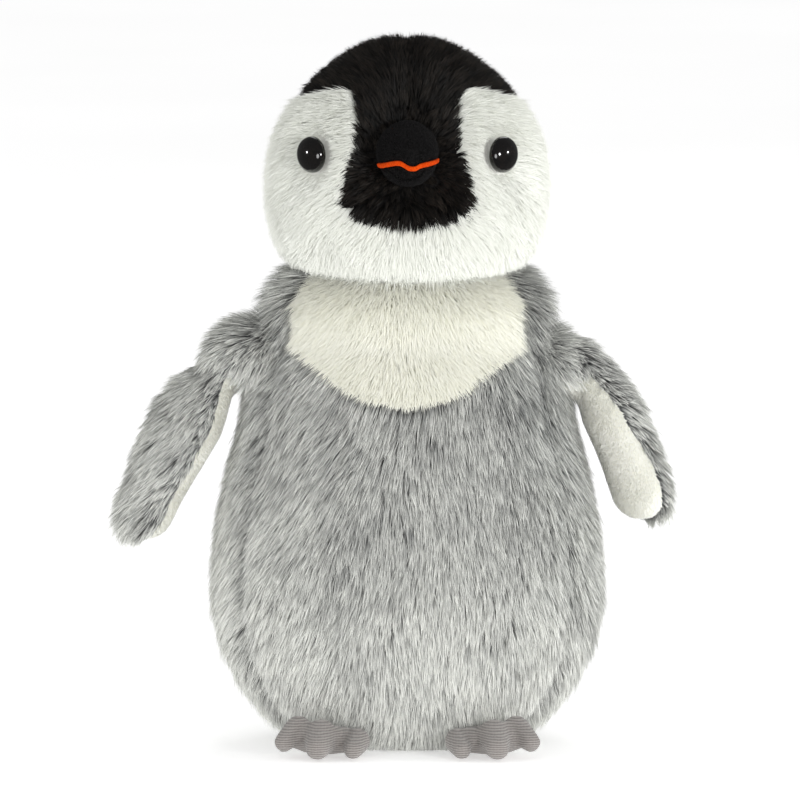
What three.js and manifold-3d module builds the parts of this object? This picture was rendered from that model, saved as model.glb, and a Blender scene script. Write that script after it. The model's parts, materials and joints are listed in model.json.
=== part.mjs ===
// A plush penguin chick that stands on its flat base: fabric panels round separate stuffing, glossy safety
// eyes, a short beak, two lined wings and two three-toed feet. Millimetres, +Z up, the face looks along -Y.
// The origin is the middle of the flat underside of the base. Angles round the body and the head start at the
// front and grow towards +X; everything in pairs is made for the +X side and mirrored.
import * as THREE from "three";
import { mergeVertices } from "three/addons/utils/BufferGeometryUtils.js";
import Module from "manifold-3d";

const wasm = await Module();
wasm.setup();

// ---------------------------------------------------------------- driving dimensions
const SEAM_GAP = 0.3; // between neighbouring panels
const FILL_GAP = 1.2; // between a panel and the stuffing behind it
const BODY_GAP_ANGLE = 0.25; // degrees that a body panel stays clear of a seam
const HEAD_GAP_ANGLE = 0.2;
const ROUND_SEGMENTS = 28; // round the stuffing and what is turned to fit it

const BODY_CLOTH = 5; // backing and packed pile of the long grey plush
const HEAD_CLOTH = 4;
const BASE_CLOTH = 3;
const BASE_INSET = 1.8; // from the torso's lowest edge in to the base cloth
const SIDE_SEAM = 59; // degrees from the front to the front side seam
const BACK_SEAM = 118; // degrees from the front to the rear side seam
const NECK_FRONT_Z = 186; // height of the torso's neck edge at the front and the back
const NECK_SIDE_RISE = 3.5; // how much higher that edge is at the sides

const NECK_Z = 190; // the height that the head turns and nods about
const NECK_R = 36;
const NECK_FOOT_Z = 184.4;
const NECK_CLEARANCE = 0.6;

const FACE_SEAM = 100; // degrees from the front to the seam behind the cheek
const MUZZLE_LOW_Z = 223;
const MUZZLE_FULL_Z = 232.5; // where the muzzle patch reaches its full width
const MUZZLE_HALF_ANGLE = 26.7;
const BROW_Z = 253; // seam between the muzzle panel and the crown panels, behind the beak
const CAP_FRONT_Z = 278.5;
const CAP_SIDE_Z = 272;
const CAP_CORNER = 34.2; // degrees from the front to the inner top corner of the white patch

const EYE_ANGLE = 44.2;
const EYE_Z = 250.5;
const EYE_R = 7.8;
const EYE_HEIGHT = 4.6;
const EYE_SUNK = 1.3;
const EYE_RIM = 1; // the straight edge below the dome
const SHANK_R = 2;
const SHANK_LENGTH = 14;
const WASHER_R = 8.5;
const WASHER_DEPTH = 5.1;
const WASHER_THICKNESS = 1.5;

const BEAK_Z = 252.5;
const BEAK_HALF_WIDTH = 13;
const BEAK_HALF_HEIGHT = 13.7;
const BEAK_LENGTH = 17;
const BEAK_CLOTH = 1.8;
const LIP_WIDTH = 1.8;
const LIP_PROUD = 0.6;

const PELLET_BAG_R = 31;
const PELLET_BAG_HEIGHT = 22;
const PELLET_BAG_ROUNDING = 6;

const SHOULDER_Z = 164;
const SHOULDER_X = 70;
const WING_CLOTH = 4;
const LINING_CLOTH = 2.5;
const WING_ROOT = { half: 15, cap: 6, out: 6.5, in: 6 };
const WING_MIDDLE = { half: 23, out: 10, in: 14 };
const WING_TIP = { half: 18, cap: 14, out: 7.5, in: 12.5 };

const FOOT_CLOTH = 1.6;
const SOLE_THICKNESS = 1.9;

// Stations of the torso and the head from bottom to top: height, half width, depth to the front and depth
// to the back.
const TORSO = [
  [0, 39, 34, 34],
  [2.5, 47, 42, 41],
  [10, 56, 51, 49],
  [20, 65.5, 59, 57],
  [35, 74.5, 65, 62.5],
  [52, 79.5, 68.5, 65.5],
  [70, 80.5, 70, 67],
  [90, 78.5, 69, 65.5],
  [110, 75, 66.5, 62.5],
  [130, 69.5, 63, 58],
  [150, 66, 58.5, 53],
  [168, 60.5, 52, 48],
  [180, 55.5, 46.5, 43.5],
  [186.5, 50, 41.8, 40.2],
  [190, 44.5, 39.6, 38.6],
];
const HEAD = [
  [193.5, 38, 38, 38],
  [197.5, 46.5, 45.5, 44],
  [205, 52.8, 51.5, 49.5],
  [215, 57, 55.5, 53.5],
  [228, 59, 57.5, 56],
  [242, 58.5, 56.5, 56],
  [254, 56, 53.5, 53.5],
  [265, 50.8, 48.5, 48.5],
  [274, 43.6, 42, 42],
  [283, 34.6, 34, 33.5],
  [290, 25, 25, 24.5],
  [295, 13.5, 13.5, 13.5],
  [297.3, 0, 0, 0],
];
// Degrees from the front and height of the bib's lower edge.
const BIB_EDGE = [
  [0, 149],
  [15, 152.5],
  [24, 158],
  [35, 165.5],
  [48, 171],
  [59, 174],
];
// Height and degrees from the front of the edge between the black blaze and the white face.
const BLAZE_EDGE = [
  [232.5, 26.7],
  [240, 25.7],
  [247, 24.6],
  [254, 23],
  [261, 22.8],
  [268, 24.6],
  [274, 28.6],
  [278.5, 34.2],
];
// The wavy mouth line: distance to +X and height.
const MOUTH = [
  [-17, 245.8],
  [-12, 247.2],
  [-7, 248.9],
  [-3, 249.4],
  [0.5, 247.4],
  [3.5, 247.2],
  [6, 248.4],
  [15.5, 249.4],
];
// Each wing's spine bends towards one point and stops at another, in the plane across the body; turns are
// the degrees, at its middle and at its tip, by which its outer face looks to the front.
const WINGS = {
  left: { bend: [90, 147], end: [110, 97], lean: -4, turns: [28, 30] },
  right: { bend: [87, 144], end: [98, 105], lean: -2, turns: [-12, -36] },
};
// Toes of the +X foot, each tapering from a ball at its root to a smaller one at its tip: middle and radius.
const TOES = [
  { root: [[21, -60, 6.9], 6.4], tip: [[22.5, -73.5, 4.5], 4.5] },
  { root: [[36, -62, 8.8], 8.2], tip: [[37.5, -75.5, 5.6], 5.6] },
  { root: [[45.5, -56, 11.5], 6.4], tip: [[51.5, -67, 7.2], 4.9] },
];
const PALM = { at: [34, -57, 7], size: [18, 9.5, 6.8] };

// ---------------------------------------------------------------- materials
const cloth = (name, color, roughness = 0.95) =>
  new THREE.MeshStandardMaterial({ name, color, roughness, metalness: 0 });
const greyPlush = cloth("grey_plush", 0xb2b4b2);
const bibPlush = cloth("bib_plush", 0xf0f0de);
const whitePlush = cloth("white_plush", 0xeef0e8);
const blackPlush = cloth("black_plush", 0x191816, 0.9);
const beakPlush = cloth("beak_plush", 0x161619, 0.85);
const orangeFelt = cloth("orange_felt", 0xf05f1e);
const liningPlush = cloth("lining_plush", 0xeef0e6);
const footKnit = cloth("foot_knit", 0x8c8480);
const innerCloth = cloth("inner_cloth", 0xd8d8d2);
const filling = cloth("filling", 0xf4f4f2);
const eyePlastic = cloth("eye_plastic", 0x0a0a0b, 0.08);
const washerPlastic = cloth("washer_plastic", 0xe8e8e4, 0.45);

// ---------------------------------------------------------------- helpers
const rad = THREE.MathUtils.degToRad;
const lerp = THREE.MathUtils.lerp;
const smooth = (x) => THREE.MathUtils.smoothstep(x, 0, 1);
const range = (count) => Array.from({ length: count + 1 }, (_, i) => i / count);

// A value read from a table of [key, value] pairs with straight lines between them.
function tableAt(table, key) {
  const next = table.findIndex(([k]) => k >= key);
  if (next <= 0) {
    return next === 0 ? table[0][1] : table.at(-1)[1];
  }
  const [k0, v0] = table[next - 1];
  const [k1, v1] = table[next];
  return lerp(v0, v1, (key - k0) / (k1 - k0));
}

// A round surface through stations; at() gives the point at an angle and some way along the stations, at a
// depth below the surface.
class RoundSurface {
  constructor(stations) {
    const curve = (points) => new THREE.CatmullRomCurve3(points, false, "catmullrom");
    this.front = curve(stations.map(([z, a, f]) => new THREE.Vector3(a, f, z)));
    this.back = curve(stations.map(([z, , , b]) => new THREE.Vector3(b, 0, z)));
  }

  // How far along the stations a height is, from 0 to 1.
  along(z) {
    let [low, high] = [0, 1];
    for (let step = 0; step < 30; step++) {
      const middle = (low + high) / 2;
      if (this.front.getPoint(middle).z < z) {
        low = middle;
      } else {
        high = middle;
      }
    }
    return (low + high) / 2;
  }

  point(angle, t) {
    const { x: halfWidth, y: front, z } = this.front.getPoint(t);
    const depth = Math.cos(rad(angle)) > 0 ? front : this.back.getPoint(t).x;
    return new THREE.Vector3(halfWidth * Math.sin(rad(angle)), -depth * Math.cos(rad(angle)), z);
  }

  normal(angle, t) {
    const inside = Math.min(t, 0.995); // the sides of the topmost point have no direction of their own
    const step = 1e-3;
    const round = this.point(angle + 1, inside).sub(this.point(angle - 1, inside));
    const above = this.point(angle, Math.min(inside + step, 1));
    const up = above.sub(this.point(angle, Math.max(inside - step, 0)));
    return t > 0.999 ? new THREE.Vector3(0, 0, 1) : round.cross(up).normalize();
  }

  at(angle, t, below = 0) {
    return this.point(angle, t).addScaledVector(this.normal(angle, t), -below);
  }
}

// Joins rows of points into triangles and merges the points that fall together.
class Weaver {
  constructor() {
    this.ids = new Map();
    this.spots = [];
    this.faces = [];
  }

  id(point, spot) {
    const key = point.toArray().map((v) => Math.round(v * 1000)).join();
    if (!this.ids.has(key)) {
      this.ids.set(key, this.spots.length);
      this.spots.push(spot);
    }
    return this.ids.get(key);
  }

  // rows holds rows of spots; pointOf turns a spot into its point.
  add(rows, pointOf) {
    const ids = rows.map((row) => row.map((spot) => this.id(pointOf(spot), spot)));
    for (let i = 0; i + 1 < ids.length; i++) {
      for (let j = 0; j + 1 < ids[i].length; j++) {
        const [a, b, c, d] = [ids[i][j], ids[i][j + 1], ids[i + 1][j + 1], ids[i + 1][j]];
        this.faces.push(...[[a, b, c], [a, c, d]].filter((face) => new Set(face).size === 3));
      }
    }
  }
}

function meshGeometry(points, indices) {
  const [a, b, c] = [new THREE.Vector3(), new THREE.Vector3(), new THREE.Vector3()];
  let volume = 0;
  for (let i = 0; i < indices.length; i += 3) {
    [a, b, c].forEach((corner, k) => corner.copy(points[indices[i + k]]));
    volume += a.dot(b.cross(c));
  }
  const outward = volume > 0 ? indices : indices.toReversed();
  const geometry = new THREE.BufferGeometry().setFromPoints(points);
  geometry.setIndex(outward);
  geometry.computeVertexNormals();
  return geometry;
}

// A curved sheet: its outer and inner faces and the walls round its edge.
function sheet(blocks, outerOf, innerOf) {
  const weaver = new Weaver();
  blocks.forEach((rows) => weaver.add(rows, outerOf));
  const count = weaver.spots.length;
  const edges = new Map();
  const indices = [];
  for (const [a, b, c] of weaver.faces) {
    indices.push(a, b, c, a + count, c + count, b + count);
    [[a, b], [b, c], [c, a]].forEach((edge) => edges.set(edge.join(), edge));
  }
  for (const [p, q] of edges.values()) {
    if (!edges.has([q, p].join())) {
      indices.push(q, p, p + count, q, p + count, q + count);
    }
  }
  return meshGeometry([...weaver.spots.map(outerOf), ...weaver.spots.map(innerOf)], indices);
}

// A closed body from rows of points whose first and last rows are single points.
function closedBody(rows) {
  const weaver = new Weaver();
  weaver.add(rows, (point) => point);
  return meshGeometry(weaver.spots, weaver.faces.flat());
}

function solid(geometry) {
  const bare = geometry.clone();
  bare.deleteAttribute("normal");
  bare.deleteAttribute("uv");
  const merged = mergeVertices(bare, 1e-3);
  return new wasm.Manifold(
    new wasm.Mesh({
      numProp: 3,
      vertProperties: merged.attributes.position.array,
      triVerts: new Uint32Array(merged.index.array),
    }),
  );
}

function geometryOf(manifold) {
  const { vertProperties, triVerts } = manifold.getMesh();
  const geometry = new THREE.BufferGeometry();
  geometry.setAttribute("position", new THREE.BufferAttribute(vertProperties, 3));
  geometry.setIndex(new THREE.BufferAttribute(triVerts, 1));
  geometry.computeVertexNormals();
  return geometry;
}

// A solid of revolution about +Z from points of radius and height.
function turned(profile, segments) {
  const points = profile.map(([r, z]) => new THREE.Vector2(r, z));
  return new THREE.LatheGeometry(points, segments).rotateX(Math.PI / 2);
}

const arc = (rx, ry, from, to, steps) =>
  range(steps).map((u) => {
    const angle = rad(lerp(from, to, u));
    return [rx * Math.cos(angle), ry * Math.sin(angle)];
  });

// A profile's points raised by lift, the last of them on the axis.
function domed(points, lift) {
  const last = points.length - 1;
  return points.map(([r, z], i) => [i === last ? 0 : r, z + lift]);
}

// A mesh for the +X side and its mirror image, named _right and _left.
function mirroredPair(name, geometry, material) {
  const right = new THREE.Mesh(geometry, material);
  right.name = `${name}_right`;
  const left = new THREE.Mesh(geometry, material);
  left.name = `${name}_left`;
  left.scale.x = -1;
  return [right, left];
}

function single(name, geometry, material) {
  const mesh = new THREE.Mesh(geometry, material);
  mesh.name = name;
  return mesh;
}

// Keeps a point of a half panel off the seam in the middle plane.
function offMiddle(point) {
  point.x = Math.max(point.x, SEAM_GAP / 2);
  return point;
}

// ---------------------------------------------------------------- torso
const torso = new RoundSurface(TORSO);
const head = new RoundSurface(HEAD);
const neckEdge = (angle) => NECK_FRONT_Z + NECK_SIDE_RISE * Math.sin(rad(angle)) ** 2;
const bibEdge = (angle) => tableAt(BIB_EDGE, Math.abs(angle));

// A torso panel over some angles, between two heights that depend on the angle.
function torsoPanel(angles, bottom, top, rows) {
  const grid = range(rows).map((v) =>
    angles.map((angle) => [angle, lerp(torso.along(bottom(angle)), torso.along(top(angle)), v)]),
  );
  const skin = (below) => ([angle, t]) => {
    const point = torso.at(angle, t, below);
    return angle > BACK_SEAM ? offMiddle(point) : point;
  };
  return sheet([grid], skin(0), skin(BODY_CLOTH));
}

const ground = () => 0;
const bibAngles = BIB_EDGE.map(([angle]) => Math.min(angle, SIDE_SEAM - BODY_GAP_ANGLE));
const frontAngles = [...bibAngles.slice(1).map((angle) => -angle).reverse(), ...bibAngles];

function buildTorso() {
  const sideAngles = [SIDE_SEAM + BODY_GAP_ANGLE, 70, 80, 90, 100, 109, BACK_SEAM - BODY_GAP_ANGLE];
  const backAngles = [BACK_SEAM + BODY_GAP_ANGLE, 132, 148, 164, 180];
  const belly = torsoPanel(frontAngles, ground, (angle) => bibEdge(angle) - SEAM_GAP, 10);
  const base = new THREE.Shape();
  base.absellipse(0, 0, TORSO[0][1] - BASE_INSET, TORSO[0][2] - BASE_INSET, 0, 2 * Math.PI);
  const baseCloth = new THREE.ExtrudeGeometry(base, {
    depth: BASE_CLOTH,
    bevelEnabled: false,
    curveSegments: 32,
  });
  return [
    single("body_front_panel", belly, greyPlush),
    single("bib_panel", torsoPanel(frontAngles, bibEdge, neckEdge, 4), bibPlush),
    ...mirroredPair("side_panel", torsoPanel(sideAngles, ground, neckEdge, 15), greyPlush),
    ...mirroredPair("back_panel", torsoPanel(backAngles, ground, neckEdge, 15), greyPlush),
    single("base_panel", baseCloth, greyPlush),
    ...buildBodyFilling(),
  ];
}

// The body stuffing stands on the base cloth and leaves a pocket below for the pellet bag.
function buildBodyFilling() {
  const inset = BODY_CLOTH + FILL_GAP;
  const floor = BASE_CLOTH + FILL_GAP;
  const angles = range(ROUND_SEGMENTS).map((u) => -180 + 360 * u);
  const ring = (z) => angles.map((angle) => torso.at(angle, torso.along(z), inset));
  const middle = (z) => angles.map(() => new THREE.Vector3(0, 0, z));
  const insideBase = 0.9;
  const foot = angles.map((angle) => torso.at(angle, 0).multiplyScalar(insideBase).setZ(floor));
  const levels = [5, 11, 20, 35, 55, 80, 110, 140, 165, NECK_FRONT_Z];
  const top = ring(NECK_FRONT_Z).reduce((low, point) => Math.min(low, point.z), NECK_FRONT_Z);
  const whole = closedBody([middle(floor), foot, ...levels.map(ring), middle(top)]);
  const round = PELLET_BAG_ROUNDING;
  const bagProfile = (r, height) => [
    [0, 0],
    [r, 0],
    ...arc(round, round, 0, 90, 3).map(([x, z]) => [r - round + x, height - round + z]),
    [0, height],
  ];
  const bag = turned(bagProfile(PELLET_BAG_R, PELLET_BAG_HEIGHT), ROUND_SEGMENTS);
  bag.translate(0, 0, floor);
  const pocketProfile = bagProfile(PELLET_BAG_R + FILL_GAP, PELLET_BAG_HEIGHT + 2 * FILL_GAP);
  const pocket = turned(pocketProfile, ROUND_SEGMENTS);
  pocket.translate(0, 0, floor - FILL_GAP);
  return [
    single("pellet_bag", bag, innerCloth),
    single("body_stuffing", geometryOf(solid(whole).subtract(solid(pocket))), filling),
  ];
}

// ---------------------------------------------------------------- neck
function buildNeck() {
  const low = Math.asin((NECK_FOOT_Z - NECK_Z) / NECK_R);
  const dome = domed(arc(NECK_R, NECK_R, THREE.MathUtils.radToDeg(low), 90, 9), NECK_Z);
  return [single("neck_stuffing", turned([[0, NECK_FOOT_Z], ...dome], ROUND_SEGMENTS), innerCloth)];
}

// ---------------------------------------------------------------- head
const blazeEdge = (z) => tableAt(BLAZE_EDGE, z);
const capEdge = (angle) =>
  lerp(CAP_FRONT_Z, CAP_SIDE_Z, smooth((angle - CAP_CORNER) / (FACE_SEAM - CAP_CORNER)));
// Half angle of the muzzle patch's rounded lower edge; lift raises the edge to leave a seam.
const muzzleEdge = (z, lift) => {
  const below = Math.min(1, (MUZZLE_FULL_Z - z) / (MUZZLE_FULL_Z - MUZZLE_LOW_Z - lift));
  return MUZZLE_HALF_ANGLE * Math.sqrt(1 - Math.max(below, 0) ** 2);
};

function headSheet(blocks, keepOff = (point) => point) {
  const skin = (below) => ([angle, z]) => keepOff(head.at(angle, head.along(z), below));
  return sheet(blocks, skin(0), skin(HEAD_CLOTH));
}

const headBottom = HEAD[0][0];
const headTop = HEAD.at(-1)[0];

// The white face panel reaches from the chin seam round the muzzle to the seam behind the cheek.
function facePanel() {
  const far = FACE_SEAM - HEAD_GAP_ANGLE;
  const columns = (near) => [near, lerp(near, 40, 0.35), lerp(near, 40, 0.7), 40, 50, 62, 75, 88, far];
  const chinLevels = [headBottom, 197, 204, 212, MUZZLE_LOW_Z - SEAM_GAP];
  const sweepLevels = [0.07, 0.24, 0.52, 1].map((u) => lerp(MUZZLE_LOW_Z, MUZZLE_FULL_Z, u));
  const low = [...chinLevels, ...sweepLevels].map((z) => {
    const near = z < MUZZLE_LOW_Z ? 0 : muzzleEdge(z, 0) + HEAD_GAP_ANGLE;
    return columns(near).map((angle) => [angle, z]);
  });
  const high = [MUZZLE_FULL_Z, 240, 247, 254, 261, 268, 274, CAP_FRONT_Z].map((z) => {
    const up = (z - MUZZLE_FULL_Z) / (CAP_FRONT_Z - MUZZLE_FULL_Z);
    return columns(blazeEdge(z) + HEAD_GAP_ANGLE).map((angle) => [
      angle,
      lerp(MUZZLE_FULL_Z, capEdge(angle) - SEAM_GAP, up),
    ]);
  });
  return headSheet([low, high], offMiddle);
}

function muzzlePanel() {
  const lift = 2 * SEAM_GAP;
  const sweepLevels = [0.14, 0.3, 0.57, 1].map((u) => lerp(MUZZLE_LOW_Z, MUZZLE_FULL_Z, u));
  const levels = [MUZZLE_LOW_Z + lift, ...sweepLevels, 240, 247, BROW_Z - SEAM_GAP / 2];
  const rows = levels.map((z) => {
    const half = (z < MUZZLE_FULL_Z ? muzzleEdge(z, lift) : blazeEdge(z)) - HEAD_GAP_ANGLE;
    return [-1, -0.6, -0.2, 0.2, 0.6, 1].map((u) => [u * Math.max(half, 0), z]);
  });
  return headSheet([rows]);
}

// Half of the black cap and the strip of it that runs down the forehead.
function crownPanel() {
  const strip = [BROW_Z + SEAM_GAP / 2, 261, 268, 274, CAP_FRONT_Z].map((z) =>
    [0, 0.5, 1].map((u) => [u * (blazeEdge(z) - HEAD_GAP_ANGLE), z]),
  );
  const corner = CAP_CORNER - HEAD_GAP_ANGLE;
  const angles = [0, corner / 2, corner, 50, 66, 83, FACE_SEAM, 120, 140, 160, 180];
  const cap = [0, 0.2, 0.42, 0.65, 0.85, 1].map((u) =>
    angles.map((angle) => [angle, lerp(capEdge(angle), headTop, Math.sin(rad(90 * u)))]),
  );
  return headSheet([strip, cap], offMiddle);
}

function napePanel() {
  const angles = [FACE_SEAM + HEAD_GAP_ANGLE, 116, 132, 148, 164, 180];
  const levels = [headBottom, 197, 204, 213, 226, 240, 252, 262, CAP_SIDE_Z - SEAM_GAP];
  return headSheet([levels.map((z) => angles.map((angle) => [angle, z]))], offMiddle);
}

// Places an eye part, made with +Z outwards and the cloth's surface at 0, at the eye of the +X side.
function atEye(geometry) {
  const t = head.along(EYE_Z);
  const outward = head.normal(EYE_ANGLE, t);
  const turn = new THREE.Quaternion().setFromUnitVectors(new THREE.Vector3(0, 0, 1), outward);
  return geometry.applyQuaternion(turn).translate(...head.at(EYE_ANGLE, t));
}

// A cylinder along +Z between two heights.
function rod(radius, from, to, segments = 20) {
  return turned([[0, from], [radius, from], [radius, to], [0, to]], segments);
}

function buildEyes() {
  const dome = domed(arc(EYE_R, EYE_HEIGHT, 0, 90, 6), EYE_RIM - EYE_SUNK);
  const shank = [
    [0, -SHANK_LENGTH],
    [SHANK_R, -SHANK_LENGTH],
    [SHANK_R, -EYE_SUNK],
  ];
  const hole = SHANK_R + SEAM_GAP;
  const front = -WASHER_DEPTH;
  const back = front - WASHER_THICKNESS;
  const ring = [
    [hole, back],
    [WASHER_R, back],
    [WASHER_R, front],
    [hole, front],
    [hole, back],
  ];
  return [
    ...mirroredPair("eye", atEye(turned([...shank, [EYE_R, -EYE_SUNK], ...dome], 24)), eyePlastic),
    ...mirroredPair("eye_washer", atEye(turned(ring, 20)), washerPlastic),
  ];
}

// The face panel with the dimple and the hole that the eye sits in.
function facePanelWithEyeHole() {
  const outside = HEAD_CLOTH;
  const dimple = atEye(rod(EYE_R + 2 * SEAM_GAP, -EYE_SUNK - SEAM_GAP, outside));
  const hole = atEye(rod(SHANK_R + 2 * SEAM_GAP, -2 * HEAD_CLOTH, outside, 12));
  return geometryOf(solid(facePanel()).subtract(solid(dimple)).subtract(solid(hole)));
}

function headStuffing() {
  const inset = HEAD_CLOTH + FILL_GAP;
  const angles = range(ROUND_SEGMENTS).map((u) => -180 + 360 * u);
  const ring = (z) => angles.map((angle) => head.at(angle, head.along(z), inset));
  const middle = (z) => angles.map(() => new THREE.Vector3(0, 0, z));
  const levels = [203, 212, 222, 234, 246, 257, 267, 276, 284, 291, 295];
  const underside = 206; // inside the hollow that the neck sits in
  const whole = closedBody([middle(underside), ...levels.map(ring), middle(headTop - inset)]);
  const socket = new THREE.SphereGeometry(NECK_R + NECK_CLEARANCE, ROUND_SEGMENTS, 18).rotateX(Math.PI / 2);
  let fill = solid(whole).subtract(solid(socket.translate(0, 0, NECK_Z)));
  for (const side of [1, -1]) {
    const washerRoom = atEye(rod(WASHER_R + FILL_GAP, -WASHER_DEPTH - WASHER_THICKNESS - FILL_GAP, 0));
    const shankRoom = atEye(rod(SHANK_R + FILL_GAP, -SHANK_LENGTH - FILL_GAP, 0, 12));
    const room = solid(washerRoom).add(solid(shankRoom));
    fill = fill.subtract(side > 0 ? room : room.mirror([1, 0, 0]));
  }
  return geometryOf(fill);
}

// The beak bulges forwards from the head's surface; shrink makes it smaller on every side, and back carries
// its rear face into the head.
function beakBody(shrink, back = 0) {
  const turns = range(24).map((u) => 360 * u);
  const spot = (ratio, angle, forward) => {
    const x = ratio * (BEAK_HALF_WIDTH - shrink) * Math.cos(rad(angle));
    const z = BEAK_Z + ratio * (BEAK_HALF_HEIGHT - shrink) * Math.sin(rad(angle));
    const { x: halfWidth, y: front } = head.front.getPoint(head.along(z));
    const face = front * Math.sqrt(1 - (x / halfWidth) ** 2);
    const bulge = (BEAK_LENGTH - shrink) * Math.sqrt(1 - ratio ** 2);
    return new THREE.Vector3(x, -face - SEAM_GAP - (forward ? bulge : -back), z);
  };
  const ratios = [0, 0.4, 0.7, 0.9, 1];
  const backs = ratios.map((ratio) => turns.map((angle) => spot(ratio, angle, false)));
  const fronts = ratios.map((ratio) => turns.map((angle) => spot(ratio, angle, true)));
  return solid(closedBody([...backs, ...fronts.reverse()]));
}

// A block between two heights that follow the mouth line, reaching through the beak.
function mouthBlock(lowOffset, highOffset) {
  const line = new THREE.SplineCurve(MOUTH.map(([x, z]) => new THREE.Vector2(x, z))).getPoints(18);
  const FAR = 30; // past the top or the bottom of the beak
  const edge = (offset) =>
    Number.isFinite(offset)
      ? line.map((p) => new THREE.Vector2(p.x, p.y + offset))
      : [line[0], line.at(-1)].map((p) => new THREE.Vector2(p.x, BEAK_Z + Math.sign(offset) * FAR));
  const outline = new THREE.Shape([...edge(lowOffset), ...edge(highOffset).reverse()]);
  const block = new THREE.ExtrudeGeometry(outline, { depth: 2 * FAR, bevelEnabled: false });
  return solid(block.rotateX(Math.PI / 2).translate(0, -FAR, 0));
}

function buildBeak() {
  const inner = beakBody(BEAK_CLOTH, HEAD_CLOTH);
  const shell = beakBody(0).subtract(inner);
  const lip = beakBody(-LIP_PROUD).subtract(inner);
  const half = LIP_WIDTH / 2;
  const parts = [
    ["beak_upper", shell.intersect(mouthBlock(half + SEAM_GAP, Infinity)), beakPlush],
    ["beak_lower", shell.intersect(mouthBlock(-Infinity, -half - SEAM_GAP)), beakPlush],
    ["mouth_lining", lip.intersect(mouthBlock(-half, half)), orangeFelt],
    ["beak_stuffing", beakBody(BEAK_CLOTH + SEAM_GAP), filling],
  ];
  return parts.map(([name, body, material]) => single(name, geometryOf(body), material));
}

function buildHead() {
  return [
    ...mirroredPair("crown_panel", crownPanel(), blackPlush),
    single("muzzle_panel", muzzlePanel(), blackPlush),
    ...mirroredPair("face_panel", facePanelWithEyeHole(), whitePlush),
    ...mirroredPair("nape_panel", napePanel(), blackPlush),
    single("head_stuffing", headStuffing(), filling),
    ...buildEyes(),
    ...buildBeak(),
  ];
}

// ---------------------------------------------------------------- wings
// A wing for the +X side: a flat lens round a bent spine, its outer face on one side of the edge seam and its
// lining on the other.
class Wing {
  constructor({ bend, end, lean, turns }) {
    const start = new THREE.Vector3(SHOULDER_X, 0, SHOULDER_Z);
    const middle = new THREE.Vector3(bend[0], lean / 2, bend[1]);
    this.spine = new THREE.QuadraticBezierCurve3(start, middle, new THREE.Vector3(end[0], lean, end[1]));
    this.length = this.spine.getLength();
    this.turns = turns;
  }

  // A size that runs from the root over the middle to the tip.
  size(key, u) {
    const root = lerp(WING_ROOT[key], WING_MIDDLE[key], smooth(u / 0.45));
    return lerp(root, WING_TIP[key], smooth((u - 0.5) / 0.5));
  }

  // The outline as [distance along the spine, distance across it], inset from the edge.
  outline(inset) {
    const sides = range(7);
    const rootCap = arc(WING_ROOT.cap - inset, WING_ROOT.half - inset, 270, 90, 5);
    const tipCap = arc(WING_TIP.cap - inset, WING_TIP.half - inset, 90, -90, 7);
    const edge = (u) => this.size("half", u) - inset;
    return [
      ...rootCap.map(([x, y]) => [Math.min(x, 0), y]),
      ...sides.slice(1, -1).map((u) => [u * this.length, edge(u)]),
      ...tipCap.map(([x, y]) => [this.length + Math.max(x, 0), y]),
      ...sides.slice(1, -1).reverse().map((u) => [u * this.length, -edge(u)]),
      [0, -(WING_ROOT.half - inset)],
    ];
  }

  // Places a point by its distances along the spine, across it and out of its plane.
  place(along, across, out) {
    const u = THREE.MathUtils.clamp(along / this.length, 0, 1);
    const ahead = this.spine.getTangentAt(u);
    const back = new THREE.Vector3(0, 1, 0);
    const outward = new THREE.Vector3().crossVectors(ahead, back).normalize();
    const turn = lerp(this.turns[0] * smooth(u / 0.45), this.turns[1], smooth((u - 0.5) / 0.5));
    back.crossVectors(outward, ahead).normalize().applyAxisAngle(ahead, rad(turn));
    outward.applyAxisAngle(ahead, rad(turn));
    return this.spine
      .getPointAt(u)
      .addScaledVector(ahead, along - u * this.length)
      .addScaledVector(back, across)
      .addScaledVector(outward, out);
  }

  // Rings of the outer (side 1) or inner (side -1) face, from the edge to the spine.
  rings(side, inset, lift) {
    const outline = this.outline(inset);
    return [1, 0.88, 0.62, 0.32, 0].map((ratio) =>
      outline.map(([along, across]) => {
        const foot = THREE.MathUtils.clamp(along, 0, this.length);
        const thickness = this.size(side > 0 ? "out" : "in", foot / this.length) - inset;
        const bulge = thickness * Math.sqrt(1 - ratio ** 2);
        return this.place(lerp(foot, along, ratio), ratio * across, side * (lift + bulge));
      }),
    );
  }

  face(side, thickness) {
    const outer = this.rings(side, 0, SEAM_GAP / 2);
    const inner = this.rings(side, thickness, SEAM_GAP / 2);
    const spots = outer.map((row, i) => row.map((_, j) => [i, j]));
    return sheet([spots], ([i, j]) => outer[i][j], ([i, j]) => inner[i][j]);
  }

  stuffing() {
    const inset = WING_CLOTH + 2 * SEAM_GAP;
    const outer = this.rings(1, inset, 0);
    const inner = this.rings(-1, inset, 0);
    return closedBody([...outer.reverse(), ...inner.slice(1)]);
  }
}

function buildWings() {
  return Object.entries(WINGS).flatMap(([side, shape]) => {
    const wing = new Wing(shape);
    const parts = [
      single(`wing_outer_${side}`, wing.face(1, WING_CLOTH), greyPlush),
      single(`wing_lining_${side}`, wing.face(-1, LINING_CLOTH), liningPlush),
      single(`wing_stuffing_${side}`, wing.stuffing(), filling),
    ];
    parts.forEach((part) => (part.scale.x = side === "left" ? -1 : 1));
    return parts;
  });
}

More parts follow.
